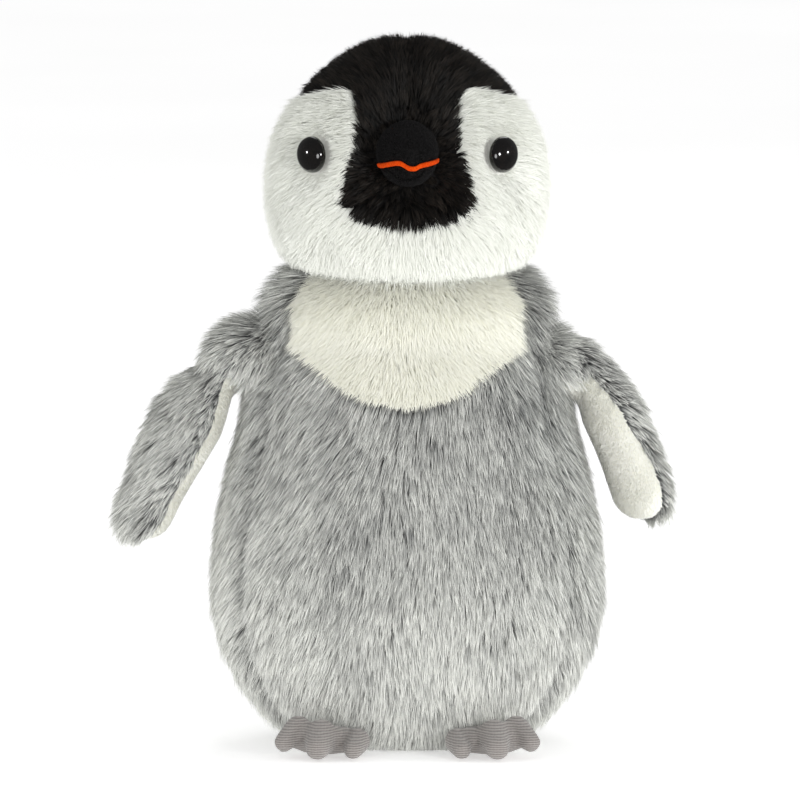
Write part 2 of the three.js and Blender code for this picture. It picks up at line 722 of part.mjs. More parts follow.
// ---------------------------------------------------------------- feet
// The toes and the palm joined, each smaller by inset.
function footBody(inset, segments, rows) {
  const ball = (at, size) => {
    const halves = size.map((half) => half - inset);
    return solid(new THREE.SphereGeometry(1, segments, rows).scale(...halves).translate(...at));
  };
  const round = ([at, radius]) => ball(at, [radius, radius, radius]);
  const toes = TOES.map(({ root, tip }) => wasm.Manifold.hull([round(root), round(tip)]));
  return toes.reduce((all, toe) => all.add(toe), ball(PALM.at, PALM.size));
}

function slab(from, to) {
  const wide = 200; // past both feet
  return solid(new THREE.BoxGeometry(wide, wide, to - from).translate(0, 0, (from + to) / 2));
}

function buildFeet() {
  const outer = footBody(0, 12, 8);
  const above = slab(SOLE_THICKNESS + SEAM_GAP, 100);
  const upper = outer.subtract(footBody(FOOT_CLOTH, 10, 6)).intersect(above);
  const fill = footBody(FOOT_CLOTH + 2 * SEAM_GAP, 10, 6).intersect(above);
  return [
    ...mirroredPair("foot_upper", geometryOf(upper), footKnit),
    ...mirroredPair("foot_sole", geometryOf(outer.intersect(slab(0, SOLE_THICKNESS))), footKnit),
    ...mirroredPair("foot_stuffing", geometryOf(fill), filling),
  ];
}

// ---------------------------------------------------------------- the penguin
const penguin = new THREE.Group();
penguin.name = "plush_penguin";
penguin.add(...buildTorso(), ...buildNeck(), ...buildHead(), ...buildWings(), ...buildFeet());

export default penguin;
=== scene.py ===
"""The plush penguin's looks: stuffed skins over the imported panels, real strands of pile rooted in them,
glossy eyes, a velour beak with a felt mouth line and ribbed knit feet, in plain studio light."""

import math

import bpy
import numpy as np
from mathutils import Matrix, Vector, kdtree
from mathutils.bvhtree import BVHTree
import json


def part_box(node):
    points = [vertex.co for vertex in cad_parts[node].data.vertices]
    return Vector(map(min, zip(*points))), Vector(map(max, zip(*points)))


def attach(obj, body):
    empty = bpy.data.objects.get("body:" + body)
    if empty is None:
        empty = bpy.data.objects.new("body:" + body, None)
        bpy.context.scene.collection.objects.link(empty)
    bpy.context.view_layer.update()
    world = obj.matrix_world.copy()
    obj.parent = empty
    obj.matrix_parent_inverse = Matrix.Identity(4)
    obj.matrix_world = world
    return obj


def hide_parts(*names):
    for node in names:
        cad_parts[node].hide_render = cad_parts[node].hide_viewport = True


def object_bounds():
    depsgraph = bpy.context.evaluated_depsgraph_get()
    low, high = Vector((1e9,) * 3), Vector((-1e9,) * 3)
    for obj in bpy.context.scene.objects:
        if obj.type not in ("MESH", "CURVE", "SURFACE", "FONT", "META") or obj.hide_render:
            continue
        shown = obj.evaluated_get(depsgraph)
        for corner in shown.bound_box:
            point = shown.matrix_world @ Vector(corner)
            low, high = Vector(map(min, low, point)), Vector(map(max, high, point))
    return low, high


MM = 0.001
SEED = 41
UP = np.array([0.0, 0.0, 1.0])
DOWN = -UP
RIGHT = np.array([1.0, 0.0, 0.0])
SIDES = {"left": -1, "right": 1}

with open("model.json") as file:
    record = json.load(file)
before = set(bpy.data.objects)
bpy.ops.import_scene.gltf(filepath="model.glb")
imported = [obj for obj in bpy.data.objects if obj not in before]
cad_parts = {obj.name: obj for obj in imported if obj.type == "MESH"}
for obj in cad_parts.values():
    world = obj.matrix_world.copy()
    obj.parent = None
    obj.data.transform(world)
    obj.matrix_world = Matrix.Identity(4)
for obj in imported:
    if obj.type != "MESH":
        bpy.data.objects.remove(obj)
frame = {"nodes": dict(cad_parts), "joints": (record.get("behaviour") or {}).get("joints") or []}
cad_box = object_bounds()
rng = np.random.default_rng(SEED)


# ---------------------------------------------------------------- small helpers
def unit(vectors):
    """Each row at length 1."""
    return vectors / np.maximum(np.linalg.norm(vectors, axis=-1, keepdims=True), 1e-12)


def smooth_step(low, high, values):
    """0 below low, 1 above high, and an even change between them."""
    t = np.clip((values - low) / (high - low), 0, 1)
    return t * t * (3 - 2 * t)


def colour(red, green, blue):
    """A colour given as it looks on a screen, 0 to 255, as the linear numbers that a shader takes."""
    linear = [c / 255 / 12.92 if c < 11 else ((c / 255 + 0.055) / 1.055) ** 2.4 for c in (red, green, blue)]
    return (*linear, 1)


def wobble(points, size, seed, waves=7):
    """A smooth random value from about -1 to 1 at each point, which changes over about size metres. The seed
    only gives each use a pattern of its own."""
    local = np.random.default_rng(seed)
    total = np.zeros(len(points))
    for _ in range(waves):
        direction = unit(local.normal(size=3))
        period = size * local.uniform(0.7, 1.6)
        total += np.sin(points @ direction * 2 * math.pi / period + local.uniform(0, 6.3))
    return total / math.sqrt(waves)


def centre_of(node):
    low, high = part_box(node)
    return np.array((low + high) / 2)


def mesh_arrays(mesh):
    """Vertices, triangles and vertex normals of a mesh, as arrays."""
    mesh.calc_loop_triangles()
    points = np.zeros(len(mesh.vertices) * 3, np.float32)
    mesh.vertices.foreach_get("co", points)
    triangles = np.zeros(len(mesh.loop_triangles) * 3, np.int32)
    mesh.loop_triangles.foreach_get("vertices", triangles)
    normals = np.zeros(len(mesh.vertices) * 3, np.float32)
    mesh.vertices.foreach_get("normal", normals)
    return (
        points.reshape(-1, 3).astype(float),
        triangles.reshape(-1, 3),
        normals.reshape(-1, 3).astype(float),
    )


def new_object(name, data):
    """An object in the scene for a mesh, a lamp or a camera."""
    piece = bpy.data.objects.new(name, data)
    bpy.context.scene.collection.objects.link(piece)
    return piece


def applied(piece):
    """Puts the result of the piece's modifiers into its mesh."""
    graph = bpy.context.evaluated_depsgraph_get()
    mesh = bpy.data.meshes.new_from_object(piece.evaluated_get(graph))
    piece.modifiers.clear()
    old = piece.data
    piece.data = mesh
    bpy.data.meshes.remove(old)
    return piece


def set_points(mesh, points):
    mesh.vertices.foreach_set("co", points.astype(np.float32).ravel())
    mesh.update()


def set_smooth(mesh):
    mesh.polygons.foreach_set("use_smooth", np.ones(len(mesh.polygons), bool))
    mesh.update()


# ---------------------------------------------------------------- materials
class Shader:
    """A material under construction: its node tree and short ways to add to it."""

    def __init__(self, name):
        self.material = bpy.data.materials.new(name)
        self.material.use_nodes = True
        self.tree = self.material.node_tree
        self.surface = self.tree.nodes["Principled BSDF"]

    def node(self, kind, **values):
        made = self.tree.nodes.new(kind)
        for key, value in values.items():
            if hasattr(made, key) and key not in made.inputs:
                setattr(made, key, value)
            else:
                made.inputs[key].default_value = value
        return made

    def link(self, output, target):
        self.tree.links.new(output, target)

    def base(self, tint):
        self.link(tint, self.surface.inputs["Base Color"])

    def surface_values(self, **values):
        for key, value in values.items():
            self.surface.inputs[key.replace("_", " ")].default_value = value

    def ramp(self, factor, stops):
        made = self.tree.nodes.new("ShaderNodeValToRGB")
        elements = made.color_ramp.elements
        while len(elements) < len(stops):
            elements.new(0.5)
        for element, (place, tint) in zip(elements, stops):
            element.position = place
            element.color = tint
        self.link(factor, made.inputs["Fac"])
        return made.outputs["Color"]

    def mix(self, factor, first, second, blend="MIX"):
        made = self.tree.nodes.new("ShaderNodeMix")
        made.data_type = "RGBA"
        made.blend_type = blend
        for socket, value in ((made.inputs[0], factor), (made.inputs[6], first), (made.inputs[7], second)):
            if isinstance(value, bpy.types.NodeSocket):
                self.link(value, socket)
            else:
                socket.default_value = value
        return made.outputs[2]

    def noise(self, vector, scale, detail=3, roughness=0.5):
        made = self.node("ShaderNodeTexNoise", Scale=scale, Detail=detail, Roughness=roughness)
        self.link(vector, made.inputs["Vector"])
        return made.outputs["Fac"]

    def stripes(self, vector, axis, scale, distortion, detail=1):
        """Parallel ridges, one after another along an axis."""
        made = self.node("ShaderNodeTexWave", Scale=scale, Distortion=distortion, Detail=detail)
        made.wave_type = "BANDS"
        made.bands_direction = axis
        self.link(vector, made.inputs["Vector"])
        return made.outputs["Color"]

    def bump(self, height, strength, distance):
        made = self.node("ShaderNodeBump", Strength=strength, Distance=distance)
        self.link(height, made.inputs["Height"])
        self.link(made.outputs["Normal"], self.surface.inputs["Normal"])

    def place(self):
        """Where a point lies in the object, in metres."""
        return self.tree.nodes.new("ShaderNodeTexCoord").outputs["Object"]


def pile_material(name, root, tip_dark, tip_light, sheen=0.2, roughness=0.75, rise=(0.0, 0.75)):
    """Strands of pile: one colour at the backing, and from one strand to the next anything between two tip
    colours. A strand's own tone lies across its map, and the way from its root to its tip lies along it. The
    tip's colour comes in over the part of that way given by rise."""
    shader = Shader(name)
    across = shader.node("ShaderNodeUVMap", uv_map="OFBake")
    split = shader.node("ShaderNodeSeparateXYZ")
    shader.link(across.outputs["UV"], split.inputs["Vector"])
    tip = shader.ramp(split.outputs["X"], [(0.0, tip_dark), (1.0, tip_light)])
    depth = shader.ramp(split.outputs["Y"], [(rise[0], (0, 0, 0, 1)), (rise[1], (1, 1, 1, 1))])
    shader.base(shader.mix(depth, root, tip))
    shader.surface_values(Roughness=roughness, Sheen_Weight=sheen, Sheen_Roughness=0.4)
    shader.surface_values(Specular_IOR_Level=0.25)
    return shader.material


def backing_material(name, dark, light):
    """The knitted ground that the pile stands in, seen only between strands."""
    shader = Shader(name)
    place = shader.place()
    shade = shader.noise(place, 420, 2)
    shader.base(shader.ramp(shade, [(0.3, dark), (0.7, light)]))
    shader.bump(shader.noise(place, 900, 2), 0.6, 0.0008)
    shader.surface_values(Roughness=0.95)
    return shader.material


# ---------------------------------------------------------------- stuffed skins
FAR = 1.0  # further than any seam
REACH = 3 * MM  # from a skin out to the panel that it stands for
EVEN_IN = 0.6  # of the way that a vertex goes towards its neighbours' middle
EVEN_OUT = -0.55  # and back, so that the skin keeps its size
PRESSURE = 4  # of the stuffing, on the cloth
SWELL_STEPS = 20


class Panels:
    """Some packed panels, to tell which of them a point belongs to and how far off its seams are."""

    def __init__(self, names):
        self.names = names
        points, faces, owners = [], [], []
        self.trees = []
        for index, name in enumerate(names):
            own, triangles, _ = mesh_arrays(frame["nodes"][name].data)
            start = len(points)
            points.extend(own.tolist())
            faces.extend((triangles + start).tolist())
            owners.extend([index] * len(triangles))
            self.trees.append(BVHTree.FromPolygons(own.tolist(), triangles.tolist()))
        self.owners = owners
        self.whole = BVHTree.FromPolygons(points, faces)

    def owner(self, points, outward):
        """The index of the panel nearest to each point of a skin, which lies under its panels."""
        reached = points + outward * REACH
        return np.array([self.owners[self.whole.find_nearest(p)[2]] for p in reached.tolist()])

    def seam_distance(self, points, outward, together):
        """How far each point is from the nearest panel that isn't its own. together gives, for a panel that
        counts as part of another, the other's name."""
        group = np.array([together.get(name, name) for name in self.names])
        own = self.owner(points, outward)
        reached = (points + outward * REACH).tolist()
        distance = np.full(len(points), FAR)
        for index, tree in enumerate(self.trees):
            others = np.nonzero(group[own] != group[index])[0]
            for i in others.tolist():
                found = tree.find_nearest(reached[i], distance[i])
                if found[3] is not None:
                    distance[i] = min(distance[i], found[3])
        return distance


def ellipsoid(centre, halves, turns=24, rings=12):
    """Points and faces of a closed ellipsoid."""
    points = [tuple(centre + halves * DOWN)]
    for ring in range(1, rings):
        tilt = math.pi * (ring / rings - 0.5)
        for k in range(turns):
            turn = 2 * math.pi * k / turns
            level = math.cos(tilt)
            heading = np.array([math.cos(turn) * level, math.sin(turn) * level, math.sin(tilt)])
            points.append(tuple(centre + halves * heading))
    points.append(tuple(centre + halves * UP))
    top = len(points) - 1
    faces = []
    for k in range(turns):
        after = (k + 1) % turns
        faces.append((0, 1 + after, 1 + k))
        faces.append((top, top - turns + k, top - turns + after))
        for ring in range(rings - 2):
            a, b = 1 + ring * turns + k, 1 + ring * turns + after
            faces.extend([(a, b, b + turns), (a, b + turns, a + turns)])
    return points, faces


def joined(nodes, extra=None):
    """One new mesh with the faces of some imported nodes, and of a further shape."""
    points, faces = extra or ([], [])
    for name in nodes:
        own, triangles, _ = mesh_arrays(frame["nodes"][name].data)
        faces.extend((triangles + len(points)).tolist())
        points.extend(own.tolist())
    mesh = bpy.data.meshes.new("joined")
    mesh.from_pydata(points, [], faces)
    return mesh


def largest_body(mesh):
    """Drops every separate scrap of a mesh but the largest."""
    points, triangles, _ = mesh_arrays(mesh)
    label = np.arange(len(points))
    while True:
        lowest = label[triangles].min(axis=1)
        changed = label.copy()
        for corner in range(3):
            np.minimum.at(changed, triangles[:, corner], lowest)
        if (changed == label).all():
            break
        label = changed
    keep = label == np.bincount(label).argmax()
    index = np.cumsum(keep) - 1
    faces = index[triangles[keep[triangles[:, 0]]]]
    made = bpy.data.meshes.new(mesh.name)
    made.from_pydata(points[keep].tolist(), [], faces.tolist())
    return made


def relaxed(mesh, rounds):
    """Evens out a mesh by moving each vertex towards its neighbours, and back a little."""
    edges = np.zeros(len(mesh.edges) * 2, np.int32)
    mesh.edges.foreach_get("vertices", edges)
    edges = edges.reshape(-1, 2)
    points = mesh_arrays(mesh)[0]
    count = np.bincount(edges.ravel(), minlength=len(points))[:, None]
    for step in range(rounds * 2):
        total = np.zeros_like(points)
        np.add.at(total, edges[:, 0], points[edges[:, 1]])
        np.add.at(total, edges[:, 1], points[edges[:, 0]])
        share = EVEN_IN if step % 2 == 0 else EVEN_OUT
        points += share * (total / count - points)
    set_points(mesh, points)


def inflate(piece, cap):
    """Lets a skin swell as cloth over its stuffing, moving no point further than cap."""
    before = mesh_arrays(piece.data)[0]
    cloth = piece.modifiers.new("Cloth", "CLOTH")
    cloth.settings.use_pressure = True
    cloth.settings.uniform_pressure_force = PRESSURE
    cloth.settings.effector_weights.gravity = 0
    scene = bpy.context.scene
    for step in range(1, SWELL_STEPS + 1):
        scene.frame_set(step)
    graph = bpy.context.evaluated_depsgraph_get()
    mesh = bpy.data.meshes.new_from_object(piece.evaluated_get(graph))
    after = mesh_arrays(mesh)[0]
    piece.modifiers.clear()
    scene.frame_set(1)
    move = after - before
    size = np.linalg.norm(move, axis=1, keepdims=True)
    set_points(piece.data, before + move * np.minimum(1, cap / np.maximum(size, 1e-9)))
    bpy.data.meshes.remove(mesh)


def stuffed_skin(name, nodes, voxel, sunk, swell, rounds=4, extra=None):
    """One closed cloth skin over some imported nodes: sunk below them, then swollen towards them by its
    stuffing. extra is a further closed shape, as points and faces, which the skin takes in too."""
    piece = new_object(name, joined(nodes, extra))
    remesh = piece.modifiers.new("Remesh", "REMESH")
    remesh.mode = "VOXEL"
    remesh.voxel_size = voxel
    applied(piece)
    piece.data = largest_body(piece.data)
    relaxed(piece.data, rounds)
    points, _, normals = mesh_arrays(piece.data)
    set_points(piece.data, points - normals * (sunk + swell))
    if swell:
        inflate(piece, swell)
    subdivision = piece.modifiers.new("Subdivision", "SUBSURF")
    subdivision.levels = 1
    subdivision.render_levels = 1
    applied(piece)
    set_smooth(piece.data)
    return piece


def pull_in_seams(piece, distance, depth, width):
    """Draws a skin in along its seams, where the stitching holds it."""
    points, _, normals = mesh_arrays(piece.data)
    groove = depth * np.exp(-((distance / width) ** 2))
    set_points(piece.data, points - normals * groove[:, None])


# ---------------------------------------------------------------- strands of pile
MAX_STRANDS = 36000  # in one piece
UNEVEN = 0.15  # how much the length changes from one strand to the next
CLEAR_OF_FLOOR = 0.25 * MM
GATHER = 1.6  # above 1, a wisp draws together late, near its tip
TAPER = [0.8, 1.0, 0.75]  # a strand's width from its root up, before its point
MAP_STRIP = 0.02  # half of what a strand's width takes of its map


def scatter(piece, per_mm2, spread=None):
    """Roots on a skin: points, normals and, at each, the value of spread, which has one for each vertex."""
    points, triangles, normals = mesh_arrays(piece.data)
    a, b, c = (points[triangles[:, k]] for k in range(3))
    area = np.linalg.norm(np.cross(b - a, c - a), axis=1) / 2
    share = 1
    count = int(area.sum() / MM**2 * per_mm2 * share)
    chosen = triangles[rng.choice(len(area), count, p=area / area.sum())]
    first, second = rng.random(count), rng.random(count)
    flip = first + second > 1
    first[flip], second[flip] = 1 - first[flip], 1 - second[flip]
    weights = np.stack([1 - first - second, first, second], axis=1)[:, :, None]
    roots = (points[chosen] * weights).sum(axis=1)
    outward = unit((normals[chosen] * weights).sum(axis=1))
    values = None if spread is None else (spread[chosen] * weights[:, :, 0]).sum(axis=1)
    return roots, outward, values


def along_surface(direction, outward):
    """A direction laid flat on the surface with those normals."""
    return unit(direction - (direction * outward).sum(axis=1, keepdims=True) * outward)


class Pile:
    """Strands of one fabric: how long, wide and raised they are, and how they bunch into wisps."""

    def __init__(
        self, per_mm2, length, width, lift, segments=3, wisp=0, pull=0.6, patchy=0.05, stray=10, roll=35
    ):
        self.per_mm2 = per_mm2  # strands on a square millimetre
        self.length = length
        self.width = width
        self.lift = lift  # degrees off the surface, at the root and at the tip
        self.segments = segments
        self.wisp = wisp  # distance between the middles of the bunches
        self.pull = pull  # how far a tip goes towards the middle of its bunch
        self.stray = stray  # degrees that a strand turns from the nap
        self.roll = roll  # degrees that its blade turns about its own length
        self.patchy = patchy  # how much the tone changes from one bunch to the next

    def strands(self, roots, outward, nap, tone, scale=None, raised=None):
        """Lays a strand from each root. Returns their points, row by row, the way and size of their widths,
        and their tones."""
        count = len(roots)
        scale = np.ones(count) if scale is None else scale
        raised = np.zeros(count) if raised is None else raised
        flat = along_surface(nap, outward)
        sideways = np.cross(outward, flat)
        turn = np.radians(rng.normal(0, self.stray, count))[:, None]
        flat = flat * np.cos(turn) + sideways * np.sin(turn)
        length = self.length * scale * np.clip(rng.normal(1, UNEVEN, count), 0.4, 1.6)
        rows = [roots]
        for step in range(self.segments):
            middle = (step + 0.5) / self.segments
            degrees = self.lift[0] + (self.lift[1] - self.lift[0]) * middle + raised
            angle = np.radians(degrees)[:, None]
            heading = outward * np.sin(angle) + flat * np.cos(angle)
            rows.append(rows[-1] + heading * (length / self.segments)[:, None])
        rows = np.stack(rows, axis=1)
        if self.wisp:
            rows, tone = self.bunch(rows, tone)
        rows[:, :, 2] = np.maximum(rows[:, :, 2], CLEAR_OF_FLOOR)
        across = unit(np.cross(flat, outward))
        roll = np.radians(rng.normal(0, self.roll, count))[:, None]
        across = across * np.cos(roll) + outward * np.sin(roll)
        width = self.width * 1 * rng.uniform(0.75, 1.25, count)
        return rows, across * width[:, None], np.clip(tone, 0.03, 0.97)

    def bunch(self, rows, tone):
        """Draws the tips of neighbouring strands together into wisps."""
        roots = rows[:, 0]
        share = 1
        number = int(len(roots) / (self.per_mm2 * share * (self.wisp / MM) ** 2)) + 8
        number = min(number, len(roots))
        middles = rng.choice(len(roots), number, replace=False)
        tree = kdtree.KDTree(number)
        for index, middle in enumerate(middles.tolist()):
            tree.insert(roots[middle].tolist(), index)
        tree.balance()
        nearest = np.array([tree.find(p)[1] for p in roots.tolist()])
        guide = middles[nearest]
        steps = rows.shape[1] - 1
        pull = self.pull * rng.uniform(0.6, 1.25, number)[nearest]
        for step in range(1, steps + 1):
            drawn = (pull * (step / steps) ** GATHER)[:, None]
            rows[:, step] = rows[:, step] - drawn * (roots - roots[guide])
        return rows, tone + rng.normal(0, self.patchy, number)[nearest]


def strand_mesh(name, rows, across, tone):
    """Each strand as one tapered blade that ends in a point."""
    count, levels, _ = rows.shape
    steps = levels - 1
    half = np.stack([across * (share / 2) for share in TAPER[:steps]], axis=1)
    left = rows[:, :steps] - half
    right = rows[:, :steps] + half
    edges = np.stack([left, right], axis=2).reshape(count, steps * 2, 3)
    points = np.concatenate([edges, rows[:, steps:]], axis=1)
    size = steps * 2 + 1
    quads = [(2 * k, 2 * k + 1, 2 * k + 3, 2 * k + 2) for k in range(steps - 1)]
    corners = np.array([i for quad in quads for i in quad] + [2 * steps - 2, 2 * steps - 1, 2 * steps])
    loops = (corners[None, :] + np.arange(count)[:, None] * size).ravel()
    sizes = np.array([4] * (steps - 1) + [3])
    starts = np.concatenate([[0], np.cumsum(sizes)[:-1]])
    mesh = bpy.data.meshes.new(name)
    mesh.vertices.add(count * size)
    mesh.vertices.foreach_set("co", points.astype(np.float32).ravel())
    mesh.loops.add(len(loops))
    mesh.loops.foreach_set("vertex_index", loops.astype(np.int32))
    mesh.polygons.add(count * steps)
    every_start = (starts[None, :] + np.arange(count)[:, None] * len(corners)).ravel()
    mesh.polygons.foreach_set("loop_start", every_start.astype(np.int32))
    mesh.polygons.foreach_set("loop_total", np.tile(sizes, count).astype(np.int32))
    at_tip = corners == 2 * steps
    side = np.where(at_tip, 0.0, np.where(corners % 2 == 0, -MAP_STRIP, MAP_STRIP))
    height = np.where(at_tip, 1.0, (corners // 2) / steps)
    maps = np.stack([tone[:, None] + side[None, :], np.tile(height, (count, 1))], axis=2)
    layer = mesh.uv_layers.new(name="OFBake")
    layer.data.foreach_set("uv", maps.astype(np.float32).ravel())
    mesh.update(calc_edges=True)
    set_smooth(mesh)
    return mesh


def fur_pieces(name, strands, material, body):
    """One or more pieces of strands that move with a body."""
    rows, across, tone = strands
    parts = max(1, math.ceil(len(rows) / MAX_STRANDS))
    order = np.argsort(rows[:, 0, 2], kind="stable")
    for index, chosen in enumerate(np.array_split(order, parts)):
        label = name if parts == 1 else f"{name}_{index + 1}"
        piece = new_object(label, strand_mesh(label, rows[chosen], across[chosen], tone[chosen]))
        piece.data.materials.append(material)
        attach(piece, body)


def split_by_panel(skin, panels, looks, body, stuffing):
    """Cuts a finished skin into one piece for each packed panel, which that piece then stands for. The first
    piece stands for the stuffing as well, which the skin takes in."""
    points, triangles, normals = mesh_arrays(skin.data)
    centres = points[triangles].mean(axis=1)
    outward = unit(normals[triangles].mean(axis=1))
    owner = panels.owner(centres, outward)
    for index, name in enumerate(panels.names):
        own = triangles[owner == index]
        used, faces = np.unique(own, return_inverse=True)
        mesh = bpy.data.meshes.new(f"{name}_skin")
        mesh.from_pydata(points[used].tolist(), [], faces.reshape(-1, 3).tolist())
        piece = new_object(f"{name}_skin", mesh)
        set_smooth(mesh)
        material, slot = looks[name]
        mesh.materials.append(material)
        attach(piece, body)
        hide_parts(*([name, stuffing] if index == 0 else [name]))
    bpy.data.objects.remove(skin)


# ---------------------------------------------------------------- fabrics
GREY_ROOT = colour(74, 75, 76)
BLACK_ROOT = colour(8, 7, 7)
WHITE_ROOT = colour(238, 239, 232)
CREAM_ROOT = colour(251, 250, 234)

grey_pile = pile_material(
    "grey_pile", GREY_ROOT, colour(112, 114, 114), colour(254, 255, 249), rise=(0.15, 0.8)
)
cream_pile = pile_material("cream_pile", CREAM_ROOT, colour(252, 251, 236), colour(255, 255, 246), sheen=0.8)
white_pile = pile_material("white_pile", WHITE_ROOT, colour(240, 242, 234), colour(251, 252, 246))
# The black pile's lighter brown tip colour is a painted highlight on the strands that take it.
black_pile = pile_material(
    "black_pile", BLACK_ROOT, colour(9, 8, 7), colour(46, 40, 34), sheen=0.02, roughness=0.55
)
velour_pile = pile_material("velour_pile", BLACK_ROOT, colour(12, 11, 12), colour(30, 28, 29), sheen=0.02)
lining_pile = pile_material(
    "lining_pile", CREAM_ROOT, colour(251, 251, 244), colour(255, 255, 250), sheen=0.6
)

grey_backing = backing_material("grey_backing", colour(58, 59, 60), colour(98, 99, 100))
cream_backing = backing_material("cream_backing", colour(246, 244, 226), colour(251, 250, 234))
white_backing = backing_material("white_backing", colour(232, 232, 225), colour(242, 242, 236))
black_backing = backing_material("black_backing", colour(8, 7, 7), colour(18, 16, 16))
base_cloth = backing_material("base_cloth", colour(150, 151, 152), colour(176, 177, 178))

long_grey = Pile(
    2.9, 13 * MM, 0.36 * MM, lift=(50, 12), wisp=2.5 * MM, pull=0.75, patchy=0.1, stray=6, roll=28
)
wing_grey = Pile(
    3.2, 11 * MM, 0.36 * MM, lift=(45, 14), wisp=2.5 * MM, pull=0.72, patchy=0.08, stray=8, roll=28
)
neck_short = Pile(3, 9 * MM, 0.38 * MM, lift=(50, 30), wisp=3 * MM, pull=0.3, roll=15)
bib_cream = Pile(5.5, 8.5 * MM, 0.4 * MM, lift=(50, 20), wisp=3 * MM, pull=0.12, stray=9, roll=6)
face_white = Pile(4, 8 * MM, 0.32 * MM, lift=(60, 22), wisp=3.2 * MM, pull=0.28, stray=10, roll=12)
# The cap's strong change in tone from wisp to wisp spreads painted highlights over the black wisps.
cap_black = Pile(4, 7 * MM, 0.32 * MM, lift=(60, 22), wisp=3 * MM, pull=0.6, patchy=0.2, stray=8, roll=25)
lining_short = Pile(8, 1.4 * MM, 0.36 * MM, lift=(60, 25), segments=2, stray=25, roll=10)
velour = Pile(10, 0.8 * MM, 0.28 * MM, lift=(80, 50), segments=2, stray=40, roll=40)
WING_PER_MM2 = 3  # a wing's outer face stands a little thinner than its own fabric
NECK_PER_MM2 = 2  # and so does the neck, which the head and collar hide


# ---------------------------------------------------------------- torso
TORSO_PANELS = [
    "body_front_panel",
    "bib_panel",
    "side_panel_left",
    "side_panel_right",
    "back_panel_left",
    "back_panel_right",
    "base_panel",
]
GREY_PANELS = [name for name in TORSO_PANELS if name not in ("bib_panel", "base_panel")]
body_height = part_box("body_front_panel")[1][2]
body_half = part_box("side_panel_right")[1][0]
bib_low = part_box("bib_panel")[0][2]
torso_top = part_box("bib_panel")[1][2]
COLLAR_DROP = 10 * MM  # of the collar's middle, below the top of the torso
COLLAR_HALVES = np.array([59, 49, 34]) * MM
COVERED = torso_top + 9 * MM  # the head covers the collar above this
TORSO_SEAM_DEPTH = 2.4 * MM
TORSO_SEAM_WIDTH = 4.5 * MM
SEAM_FREE_BELOW = 6 * MM  # round the base, whose seam lies flat
BASE_EDGE = 4.5 * MM  # the skin below this is let down onto the base
BASE_DROP = 3.6 * MM
BASE_CLEAR = 0.2 * MM  # of the skin, above the floor
TORSO_SWAY = 38 * MM  # the nap strays from place to place, over about this much
TORSO_STRAY = 0.16  # by this much sideways for each part downwards
LEFT_SWEEP = 0.75  # outwards for each part downwards, at the left side
RIGHT_SWEEP = 0.2
LEAN = 0.08  # of the whole nap, to the left
COLLAR_RAISE = 16  # degrees more off the surface, at the sides of the collar


def torso_nap(roots):
    """The grey pile lies downwards, and at the left front outwards too, most of all near the shoulder."""
    across = roots[:, 0] / body_half
    height = roots[:, 2] / body_height
    left_front = (across < 0) & (roots[:, 1] <= 0)
    higher_up = 0.45 + 0.75 * height
    sweep = np.where(left_front, LEFT_SWEEP * across * higher_up, RIGHT_SWEEP * across) - LEAN
    nap = np.stack([sweep, np.zeros(len(roots)), -np.ones(len(roots))], axis=1)
    nap[:, 0] += TORSO_STRAY * wobble(roots, TORSO_SWAY, 3)
    nap[:, 1] += TORSO_STRAY * wobble(roots, TORSO_SWAY, 4)
    return nap


def torso_tone_and_painted_light(roots):
    """Greyer below the bib and paler towards the foot of the body. Paler on its left side too, which is
    painted light that makes up for the shade on that side.
    """
    height = roots[:, 2] / body_height
    tone = 0.78 - 0.22 * smooth_step(0.15, 0.85, height)
    # Painted light: the left side of the body is made paler to make up for the shade that falls there.
    tone = tone + 0.2 * smooth_step(0.3, 1, -roots[:, 0] / body_half)
    return tone + 0.07 * wobble(roots, 30 * MM, 5) + rng.normal(0, 0.15, len(roots))


def bib_nap(roots):
    """The cream pile spreads from the middle of the bib as it runs down."""
    nap = np.stack([roots[:, 0] / body_half * 1.3, np.zeros(len(roots)), -np.ones(len(roots))], axis=1)
    nap[:, 0] += 0.15 * wobble(roots, 25 * MM, 6)
    return nap


def torso_skin(panels):
    """The skin with a collar that fills the gap under the head, and how far each vertex is from a seam."""
    collar = ellipsoid(np.array([0, 0, torso_top - COLLAR_DROP]), COLLAR_HALVES)
    nodes = [*TORSO_PANELS, "body_stuffing"]
    skin = stuffed_skin("torso_skin", nodes, voxel=4 * MM, sunk=2.2 * MM, swell=2 * MM, extra=collar)
    points, _, normals = mesh_arrays(skin.data)
    seams = panels.seam_distance(points, normals, {"bib_panel": "body_front_panel"})
    stitched = np.where(points[:, 2] > SEAM_FREE_BELOW, seams, FAR)
    pull_in_seams(skin, stitched, TORSO_SEAM_DEPTH, TORSO_SEAM_WIDTH)
    points, _, _ = mesh_arrays(skin.data)
    height = points[:, 2]
    points[:, 2] = np.where(height < BASE_EDGE, np.maximum(height - BASE_DROP, BASE_CLEAR), height)
    set_points(skin.data, points)
    return skin, seams


def grow_grey_pile(skin, panels, seams):
    """The long pile, shorter along the seams and darker there with painted shade, and fluffed up at the sides
    of the collar.
    """
    roots, outward, seam = scatter(skin, long_grey.per_mm2, seams)
    shown = roots[:, 2] < COVERED
    roots, outward, seam = roots[shown], outward[shown], seam[shown]
    owner = panels.owner(roots, outward)
    off_seam = smooth_step(0, 9 * MM, seam)
    raised = COLLAR_RAISE * smooth_step(torso_top - 24 * MM, torso_top - 6 * MM, roots[:, 2])
    raised *= smooth_step(0.25, 0.6, np.abs(roots[:, 0]) / body_half)
    for name in GREY_PANELS:
        own = owner == TORSO_PANELS.index(name)
        scale = 0.72 + 0.28 * off_seam[own]
        # Painted shade: the tone is darkened along the seams, in the grooves where shade falls.
        tone = torso_tone_and_painted_light(roots[own]) - 0.16 * (1 - off_seam[own])
        nap = torso_nap(roots[own])
        strands = long_grey.strands(roots[own], outward[own], nap, tone, scale, raised[own])
        fur_pieces(f"{name}_pile", strands, grey_pile, "torso")


